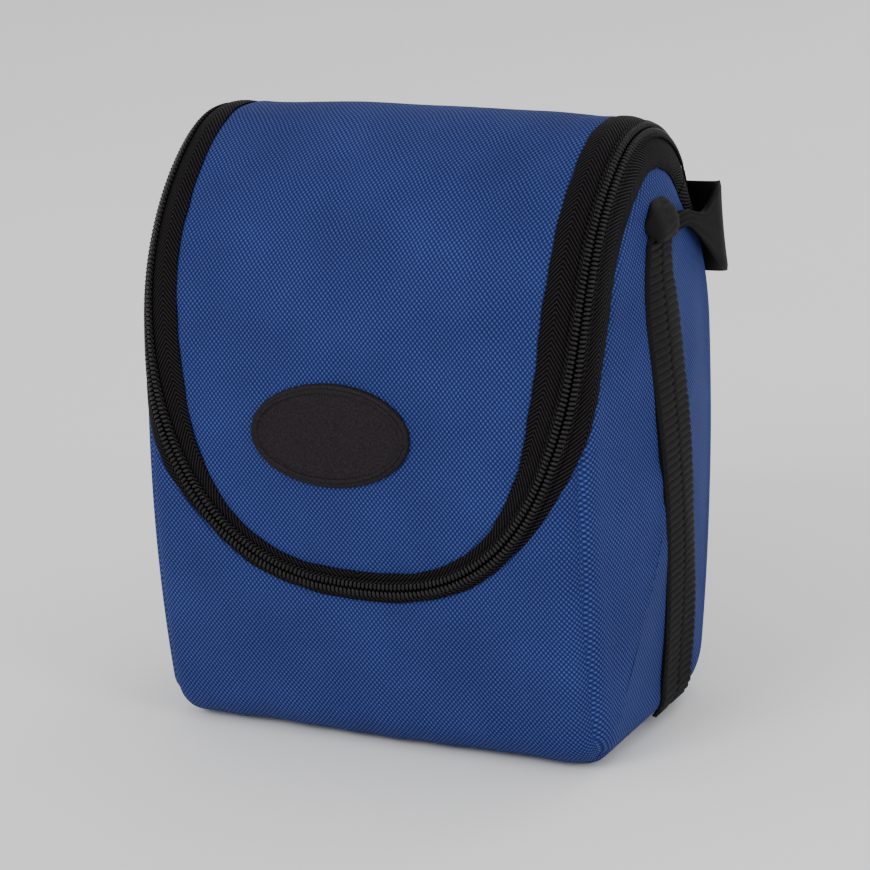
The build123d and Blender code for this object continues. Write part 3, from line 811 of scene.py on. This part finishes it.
def back_lift(w, s):
    side = ZIP_W - np.abs(w)
    edge = zip_w(s) - TAPE_FLAP
    hidden = smooth(np.abs(w), edge - 1, edge + 1) * smooth(s, S_SLOPE_END + 1.5, S_SLOPE_END)
    fill = smooth(s, S_HINGE, S_HINGE + 20) * smooth(S_BASE_BACK - s, 0, 20)
    crown = 1.5 * fill * (1 - (w / HALF_WIDTH) ** 2)
    dips = seam_dip(side, *PANEL_DIP) + seam_dip(s - S_HINGE, 0.7, 2.0) + seam_dip(S_BASE_BACK - s, *HEM_DIP)
    lift = crown + ripple(w, s, 4.0) * smooth(side, 0, 12) + dips
    return lift * (1 - hidden) - UNDER_TAPE * hidden


def back_half_width(s):
    """The back panel is narrower between the ends of the zip."""
    narrow = zip_w(s) - TAPE_FLAP + LAP
    return narrow + (ZIP_W - narrow) * smooth(s, *ZIP_MEET)


def back_panel_piece(name, depth_out, depth_in, edge, material, rows=110, cols=101):
    s = np.linspace(S_HINGE + HINGE_GAP + edge, S_BASE_BACK - edge, rows)[:, None]
    w = np.linspace(-1, 1, cols)[None, :] * (back_half_width(s) - edge)
    s = np.broadcast_to(s, w.shape)
    lift = back_lift(w, s)
    rise = smooth(s, S_HINGE + 4, S_HINGE + HINGE_GAP)
    outer = lift - depth_out if depth_out < FOAM else -depth_out + (depth_out - 1.5) * rise
    inner = lift - depth_in if depth_in < FOAM else -depth_in + (depth_in - 2.2) * rise
    return slab(name, wall(w, s, outer), wall(w, s, inner), np.stack([w, s], axis=-1), material)


def base_panel_piece(name, depth_out, depth_in, edge, material, rows=80, cols=81):
    start, end = S_BASE_BACK + edge, S_TURN + S_BASE_FRONT - edge
    s = np.linspace(start, end, rows)[:, None]
    w = np.linspace(-ZIP_W + edge, ZIP_W - edge, cols)[None, :]
    s, w = np.broadcast_arrays(s, w)
    side = ZIP_W - np.abs(w)
    lift = seam_dip(side, 0.9, 2.0) + seam_dip(s - start, *HEM_DIP) + seam_dip(end - s, *HEM_DIP)
    return slab(name, wall(w, s, lift - depth_out), wall(w, s, lift * (depth_in < FOAM) - depth_in),
                np.stack([w, s], axis=-1), material)


# ---------------------------------------------------------------- zip
def ragged(l, pitch=0.95, size=0.32):
    """Small loops along a woven edge."""
    return size * np.abs(np.sin(math.pi * l / pitch)) + 0.18 * np.sin(l / 5.3) + 0.12 * np.sin(l / 2.1 + 1)


def tape_strip(name, l, inner, outer, high, thick=0.75, cols=9):
    """A ribbon beside the zip line, from offset inner to offset outer."""
    t = np.linspace(0, 1, cols)[None, :]
    lengths = np.broadcast_to(l[:, None], (len(l), cols))
    inner = np.broadcast_to(inner, len(l))[:, None]
    outer = np.broadcast_to(outer, len(l))[:, None]
    rough = ragged(np.abs(l))[:, None]
    edge = outer + rough * np.sign(outer)
    o = inner + (edge - inner) * t
    body = high + 0.25 * np.sin(math.pi * t) + 0.12 * np.sin(l / 7.3)[:, None] * t
    rounded = 0.25 * (t > 0.999) + 0.1 * (t < 0.001)
    top = on_zip(o, lengths, body - rounded)
    bottom = on_zip(o, lengths, body - thick + rounded)
    return slab(name, top, bottom, np.stack([o, np.abs(lengths)], axis=-1), tape_cloth)


def teeth(name, start, end, side, phase, pitch=1.55):
    """One row of a nylon coil: a slanting rounded loop for every tooth."""
    ring, steps = 8, 7
    points, faces = [], []
    for index in range(int((end - start) / pitch)):
        middle = start + (index + phase) * pitch
        if middle > end - 0.6:
            break
        t = np.linspace(0.0, 1.0, steps)
        o = side * (0.15 + (COIL - 0.3) * t)
        swell = np.sqrt(np.clip(1 - ((t - 0.52) / 0.56) ** 2, 0.03, 1))
        spin = np.linspace(0, 2 * math.pi, ring, endpoint=False)
        l = middle + 0.35 * (t - 0.5)[:, None] + 0.68 * swell[:, None] * np.cos(spin)[None, :]
        lift = 0.8 + 0.78 * swell[:, None] * np.sin(spin)[None, :]
        base = len(points)
        points.extend(on_zip(np.broadcast_to(o[:, None], l.shape), l, lift).reshape(-1, 3))
        faces.extend(tube_faces(steps, ring, base))
    obj = new_object(name, points, faces, None, nylon, sharp=80)
    recalculate(obj)
    return obj


def coil_cord(name, l, side):
    """The cord and stitching that run under and beside the teeth of one row."""
    spin = np.linspace(0, 2 * math.pi, 9)[None, :]
    centre = side * (COIL + 0.1)
    o = centre + CORD_HALF_WIDTH * np.cos(spin) + 0 * l[:, None]
    stitches = 0.10 * np.abs(np.sin(math.pi * l / STITCH))[:, None]
    lift = 0.75 + CORD_HALF_HEIGHT * np.sin(spin) + stitches
    lengths = np.broadcast_to(l[:, None], o.shape)
    grid = on_zip(o, lengths, lift)
    rows, cols = grid.shape[:2]
    points = grid[:, :-1].reshape(-1, 3)
    coords = np.stack([o[:, :-1], lengths[:, :-1], 0 * o[:, :-1]], axis=-1).reshape(-1, 3)
    obj = new_object(name, points, tube_faces(rows, cols - 1), coords, tape_cloth, sharp=80)
    recalculate(obj)
    return obj


def joined(name, objects):
    """One object made of several, kept under the first one's data."""
    bpy.ops.object.select_all(action="DESELECT")
    for obj in objects:
        obj.select_set(True)
    bpy.context.view_layer.objects.active = objects[0]
    bpy.ops.object.join()
    objects[0].name = name
    objects[0].data.name = name
    return objects[0]


def zip_pieces():
    whole = np.arange(-ZIP_HINGE, ZIP_HINGE + 0.2, 0.45)
    whole = np.clip(whole, -ZIP_HINGE, ZIP_HINGE)
    flap_tape = tape_strip("zip_tape_flap", whole, -0.25, -flap_reach(whole), TAPE_LIFT)
    body_tape = tape_strip("zip_tape_body", whole, 0.25, tape_reach(whole), TAPE_LIFT)
    half = ZIP_HINGE - 0.3
    flap_teeth = joined("zip_teeth_flap", [teeth("zip_teeth_flap", -half, half, -1, 0.5),
                                           coil_cord("zip_cord_flap", whole[::2], -1)])
    body_teeth = joined("zip_teeth_body", [teeth("zip_teeth_body", -half, half, 1, 1.0),
                                           coil_cord("zip_cord_body", whole[::2], 1)])
    tails = []
    for sign, word in ((1, "right"), (-1, "left")):
        l = sign * np.linspace(ZIP_HINGE + 0.45, ZIP_END, 60)
        tape = [tape_strip(f"zip_tail_tape_{word}", l, -0.02, -TAPE_FLAP, TAPE_LIFT),
                tape_strip("zip_tail_outer", l, 0.02, TAPE_SIDE, TAPE_LIFT)]
        tape = joined(f"zip_tail_tape_{word}", tape)
        low, high = sorted((l[0], l[-1]))
        rows = [teeth(f"zip_tail_teeth_{word}", low + 0.3, high, -1, 0.5),
                teeth("zip_tail_other", low + 0.3, high, 1, 1.0)]
        rows += [coil_cord("zip_tail_cord", l, side) for side in (-1, 1)]
        tails.append((word, tape, joined(f"zip_tail_teeth_{word}", rows)))
    return flap_tape, body_tape, flap_teeth, body_teeth, tails


# ---------------------------------------------------------------- badge
BADGE_HALF = (30.0, 17.5)
BADGE_CENTRE_W = -7.5
BADGE_TILT = math.radians(2.0)


def badge_piece():
    """Oval moulding: rounded edge, a raised line inside it and a level middle."""
    section = [(1.0, -0.6), (1.0, 1.3), (0.992, 1.85), (0.975, 2.2), (0.95, 2.3), (0.937, 2.3), (0.93, 2.72),
               (0.921, 2.86), (0.905, 2.86), (0.896, 2.72), (0.888, 2.22), (0.87, 2.18), (0.6, 2.2),
               (0.3, 2.2), (0.04, 2.2)]
    around = np.linspace(0, 2 * math.pi, 160, endpoint=False)
    points = []
    for size, lift in section:
        shrink = (1 - size) * BADGE_HALF[1] * 1.45
        a, b = BADGE_HALF[0] - shrink, BADGE_HALF[1] - shrink
        if size < 0.9:
            inner = size / 0.87
            a, b = (BADGE_HALF[0] - 3.5) * inner, (BADGE_HALF[1] - 3.5) * inner
        u, v = a * np.cos(around), b * np.sin(around)
        w = BADGE_CENTRE_W + u * math.cos(BADGE_TILT) - v * math.sin(BADGE_TILT)
        s = S_BADGE + u * math.sin(BADGE_TILT) + v * math.cos(BADGE_TILT)
        crown = 1.1 * (1 - (w / HALF_WIDTH) ** 2)
        points.extend(wall(w, s, crown + lift - 0.6))
    faces = tube_faces(len(section), len(around))
    obj = new_object("badge_moulding", points, faces, None, moulding, sharp=60)
    recalculate(obj)
    return obj


# ---------------------------------------------------------------- webbing and strap
WEBBING_Y = -3.0
WEBBING_HALF = 12.5
WEBBING_TOP_V = 183.0 - EDGE_RADIUS + CORNER_END
RIB = 2.7
LOOP_Z = 174.0
LOOP_X = 84.8
LOOP_RADIUS = 7.0
LOOP_Y = -1.5
LOOP_HUMP = 4.0                # the fold stands this much higher than a round loop


def on_side(sign, y, v, lift):
    """Points on a side panel: y across, v up from the seam under the case, round the corner."""
    y, v, lift = np.broadcast_arrays(y, v, lift)
    s = S_BASE + (PROFILE[1][np.searchsorted(PROFILE[0], S_BASE)] - y)
    points = wall(v, s, lift)
    points[..., 0] += crown_height(points[..., 1], points[..., 2]) * (v > CORNER_END)
    points[..., 0] *= sign
    return points


def webbing_centre(v):
    """The webbing leans back towards its foot and forward below its loop."""
    return WEBBING_Y + 6.0 - 10.5 * smooth(v, 95, 215) + 5.0 * smooth(v, WEBBING_TOP_V - 26, WEBBING_TOP_V)


def side_webbing_piece(sign, word):
    v = np.arange(CORNER_MIDDLE + 0.6, WEBBING_TOP_V, 0.45)
    across = np.linspace(-1, 1, 25)
    half = WEBBING_HALF * (1 - 0.25 * smooth(v, WEBBING_TOP_V - 40, WEBBING_TOP_V - 14))
    half = half * (1 - 0.55 * smooth(v, WEBBING_TOP_V - 14, WEBBING_TOP_V))
    y = webbing_centre(v)[:, None] + half[:, None] * across[None, :]
    column = (across[None, :] > 0) * (RIB / 2)
    ribs = 0.62 * np.abs(np.sin(math.pi * (v[:, None] + column) / RIB)) ** 0.7
    gutter = -0.3 * np.exp(-(across[None, :] / 0.07) ** 2)
    selvage = np.where(np.abs(across)[None, :] > 0.93, -0.25, 0.0)
    lift = 0.85 + (ribs + gutter) * (np.abs(across)[None, :] < 0.93) + selvage
    lift = lift + 0.35 * np.sin(v / 13.0)[:, None] * across[None, :] ** 2
    rise = 0.9 * smooth(v, WEBBING_TOP_V - 26, WEBBING_TOP_V - 6)[:, None]
    top = on_side(sign, y, v[:, None], lift + rise * 0.4)
    bottom = on_side(sign, y, v[:, None], -0.1 + 0 * lift)
    coords = np.stack([y, np.broadcast_to(v[:, None], y.shape)], axis=-1)
    return slab(f"side_webbing_{word}_ribbed", top, bottom, coords, webbing)


def loop_piece(sign, word):
    """The top of the webbing, folded over into a loop that holds the strap's end."""
    turn = np.linspace(math.radians(-28), math.radians(100), 44)
    across = np.linspace(-1, 1, 21)
    half = 9.5 + 2.2 * smooth(turn, -0.5, 0.4) - 6.5 * smooth(turn, 0.7, 1.75)
    y = LOOP_Y + half[:, None] * across[None, :]
    column = (across[None, :] > 0) * math.pi / 2
    ribs = 0.28 * np.abs(np.sin(math.pi * turn[:, None] * LOOP_RADIUS / RIB + column)) ** 0.7
    outer = LOOP_RADIUS - 0.45 + ribs * (np.abs(across)[None, :] < 0.9)
    shells = []
    pinch = 1 - 0.5 * np.abs(across[None, :]) ** 5
    for radius in (outer * pinch, (LOOP_RADIUS - 1.5 + 0 * ribs) * pinch):
        x = LOOP_X + radius * np.cos(turn)[:, None]
        z = LOOP_Z + (radius + LOOP_HUMP * smooth(turn, 0, 1.4)[:, None]) * np.sin(turn)[:, None]
        shells.append(np.stack([sign * np.maximum(x, HALF_WIDTH + 0.3), y, z], axis=-1))
    coords = np.stack([y, np.broadcast_to(turn[:, None] * LOOP_RADIUS, y.shape)], axis=-1)
    return slab(f"webbing_loop_{word}_ribbed", shells[0], shells[1], coords, webbing)


STRAP_X = 88.5
PIVOT_Y = 16.0
STRAP_DROOP = math.radians(17.0)
STRAP_LEAN = math.radians(10.0)
STRAP_REACH = 46.0
STRAP_CORNER = 20.0
STRAP_NECK = 2.8
STRAP_HALF = 15.0
FLARE_BELOW = (0.0, 32.0)      # its lower edge widens between these distances from its loop
FLARE_ABOVE = (12.0, 34.0)     # and its upper edge between these
STRAP_IN_LOOP = 26.0


def strap_path():
    """Middle line of the strap seen from above, right end to left end: points and inward normals."""
    arm = STRAP_REACH - STRAP_CORNER
    points, normals = [], []
    for y in np.arange(-STRAP_IN_LOOP, arm, 1.0):
        points.append((STRAP_X, y))
        normals.append((-1.0, 0.0))
    for turn in np.linspace(0, math.pi / 2, 24):
        points.append((STRAP_X - STRAP_CORNER * (1 - math.cos(turn)), arm + STRAP_CORNER * math.sin(turn)))
        normals.append((-math.cos(turn), -math.sin(turn)))
    for x in np.arange(STRAP_X - STRAP_CORNER - 2, 0, -2.0):
        points.append((x, STRAP_REACH))
        normals.append((0.0, -1.0))
    mirrored = [(-x, y) for x, y in reversed(points)]
    return np.array(points + [(0.0, STRAP_REACH)] + mirrored), np.array(
        normals + [(0.0, -1.0)] + [(-x, y) for x, y in reversed(normals)])


def strap_piece():
    """One strap from loop to loop: gathered at each end, then flat and full width behind."""
    path, inward = strap_path()
    along = np.append(0, np.cumsum(np.hypot(*np.diff(path, axis=0).T)))
    total = along[-1]
    from_end = np.minimum(along, total - along)
    flare = smooth(from_end - STRAP_IN_LOOP, *FLARE_BELOW)
    flare_above = smooth(from_end - STRAP_IN_LOOP, *FLARE_ABOVE)
    across = np.linspace(-1, 1, 17)[None, :]
    widen = np.where(across > 0, flare_above[:, None], flare[:, None])
    height = (STRAP_NECK + (STRAP_HALF - STRAP_NECK) * widen) * across
    fold = (1 - flare)[:, None] * 0.25 * np.cos(across * 3 * math.pi)
    cup = flare[:, None] * (-0.5 * across ** 2 + 0.3 * np.sin(along / 15.0)[:, None] * across)
    bend = smooth(from_end, STRAP_IN_LOOP - 6, STRAP_IN_LOOP + 6)[:, None]
    lean = STRAP_LEAN * bend
    both = lean + STRAP_DROOP * bend
    shells = []
    edge = np.sqrt(1.001 - (across * (np.abs(across) > 0.99) * 0.9) ** 2)
    for side in (1, -1):
        thick = side * (0.8 + 0.3 * (1 - flare))[:, None] * edge
        shift = -(fold + cup) + thick
        x = path[:, 0][:, None] - inward[:, 0][:, None] * shift
        y = path[:, 1][:, None] - inward[:, 1][:, None] * shift
        level = path[:, 1][:, None]
        rise = (height - level * np.sin(both)) / np.cos(both)
        turned_y = PIVOT_Y + y * np.cos(lean) - rise * np.sin(lean)
        turned_z = LOOP_Z + y * np.sin(lean) + rise * np.cos(lean)
        shells.append(np.stack([x, turned_y, turned_z], axis=-1))
    coords = np.stack([height, np.broadcast_to(along[:, None], shells[0].shape[:2])], axis=-1)
    return slab("carry_strap_webbing", shells[0], shells[1], coords, strap_cloth)


# ---------------------------------------------------------------- build and place everything
flap_cloth, flap_pad, flap_inside = flap_pieces()
for piece, node in ((flap_pad, "flap_foam"), (flap_inside, "flap_lining")):
    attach(piece, "flap")
    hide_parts(node)
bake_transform(flap_cloth)
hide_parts("flap_panel")


def on_case(piece, slot, *nodes):
    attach(piece, "case")
    if nodes:
        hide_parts(*nodes)
    return piece


for word, panel, pad_grid in (("front", front_panel_piece, (30, 61)), ("back", back_panel_piece, (40, 41))):
    on_case(panel(f"{word}_cloth", 0.0, CLOTH, 0.0, weave), "shell_fabric", f"{word}_panel")
    pad = panel(f"{word}_padding", CLOTH + PAD_SKIN, FOAM, 3.0, foam, *pad_grid)
    on_case(pad, "foam", f"{word}_foam")
    cloth = panel(f"{word}_lining_cloth", UNDER_FOAM, LINING, 0.5, lining, *pad_grid)
    on_case(cloth, "lining", f"{word}_lining")
on_case(base_panel_piece("base_cloth", 0.0, CLOTH, 0.0, weave), "shell_fabric", "base_panel")
pad = base_panel_piece("base_padding", CLOTH + PAD_SKIN, BOARD_TOP - PAD_SKIN, 2.0, foam, 30, 41)
on_case(pad, "foam", "base_foam")
stiffener = base_panel_piece("base_board", BOARD_TOP, BOARD_BOTTOM, 4.0, board, 20, 31)
on_case(stiffener, "board", "base_stiffener")
cloth = base_panel_piece("base_lining_cloth", UNDER_FOAM, LINING, 1.0, lining, 30, 41)
on_case(cloth, "lining", "base_lining")
for sign, word in ((1, "right"), (-1, "left")):
    cloth, pad = side_pieces(sign, word)
    on_case(cloth, "shell_fabric", f"side_panel_{word}")
    on_case(pad, "foam", f"side_foam_{word}")
    on_case(side_lining(sign, word), "lining", f"side_lining_{word}")
    on_case(side_webbing_piece(sign, word), "webbing", f"side_webbing_{word}")
    on_case(loop_piece(sign, word), "webbing", f"webbing_loop_{word}")

flap_tape, body_tape, flap_teeth, body_teeth, tails = zip_pieces()
for piece, node, slot in ((flap_tape, "flap_zip_tape", "zip_tape"),
                          (flap_teeth, "flap_zip_coil", "zip_coil")):
    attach(piece, "flap")
    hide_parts(node)
on_case(body_tape, "zip_tape", "body_zip_tape")
on_case(body_teeth, "zip_coil", "body_zip_coil")
for word, tape, rows in tails:
    on_case(tape, "zip_tape", f"zip_tail_tape_{word}")
    on_case(rows, "zip_coil", f"zip_tail_coil_{word}")

badge = badge_piece()
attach(badge, "flap")
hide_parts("badge")

strap = strap_piece()
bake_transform(strap)
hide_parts("carry_strap", "strap_end_left", "strap_end_right")

CAD_LOOKS = {"zip_slider": metal, "pull_tab": metal, "zip_end_stop_left": metal, "zip_end_stop_right": metal,
             "base_seam_binding": lining, "hinge_seam_binding": lining}
for name, look in CAD_LOOKS.items():
    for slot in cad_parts[name].material_slots:
        slot.material = look

# ---------------------------------------------------------------- floor, light and camera
bpy.ops.mesh.primitive_plane_add(size=6)
floor = bpy.context.object
floor.name = "floor"
floor.data.materials.append(floor_white())

world = bpy.data.worlds.new("studio") if not bpy.data.worlds else bpy.data.worlds[0]
bpy.context.scene.world = world
world.use_nodes = True
background = world.node_tree.nodes["Background"]
background.inputs["Color"].default_value = (1.0, 1.0, 1.0, 1)
background.inputs["Strength"].default_value = 0.95


def area_light(name, place, target, size, power):
    light = bpy.data.lights.new(name, "AREA")
    light.shape = "DISK"
    light.size = size
    light.energy = power
    obj = bpy.data.objects.new(name, light)
    bpy.context.collection.objects.link(obj)
    obj.location = place
    aim = Vector(target) - Vector(place)
    obj.rotation_euler = aim.to_track_quat("-Z", "Y").to_euler()


CENTRE = (0, 0, HEIGHT * MM / 2)
area_light("key", (-0.5, -1.5, 1.1), CENTRE, 0.9, 16)
area_light("side", (1.6, -0.6, 0.7), CENTRE, 0.8, 10)
area_light("rear", (0.4, 1.4, 1.2), CENTRE, 0.8, 6)

AZIMUTH = math.radians(27.89)
ELEVATION = math.radians(16.73)
ROLL = math.radians(-3.21)
DISTANCE = 1.0742
AIM = (-0.00138, -0.0095)
LENS = 127.5
SENSOR = 36.0
level = math.cos(ELEVATION)
backward = Vector((math.sin(AZIMUTH) * level, -math.cos(AZIMUTH) * level, math.sin(ELEVATION)))
right = Vector((math.cos(AZIMUTH), math.sin(AZIMUTH), 0))
up = backward.cross(right)
camera_data = bpy.data.cameras.new("camera")
camera_data.lens = LENS
camera_data.sensor_width = SENSOR
camera = bpy.data.objects.new("camera", camera_data)
bpy.context.collection.objects.link(camera)
place = Vector(CENTRE) + right * AIM[0] + up * AIM[1] + backward * DISTANCE
rolled_right = right * math.cos(ROLL) + up * math.sin(ROLL)
rolled_up = up * math.cos(ROLL) - right * math.sin(ROLL)
axes = Matrix((rolled_right, rolled_up, backward)).transposed()
camera.matrix_world = Matrix.Translation(place) @ axes.to_4x4()
bpy.context.scene.camera = camera
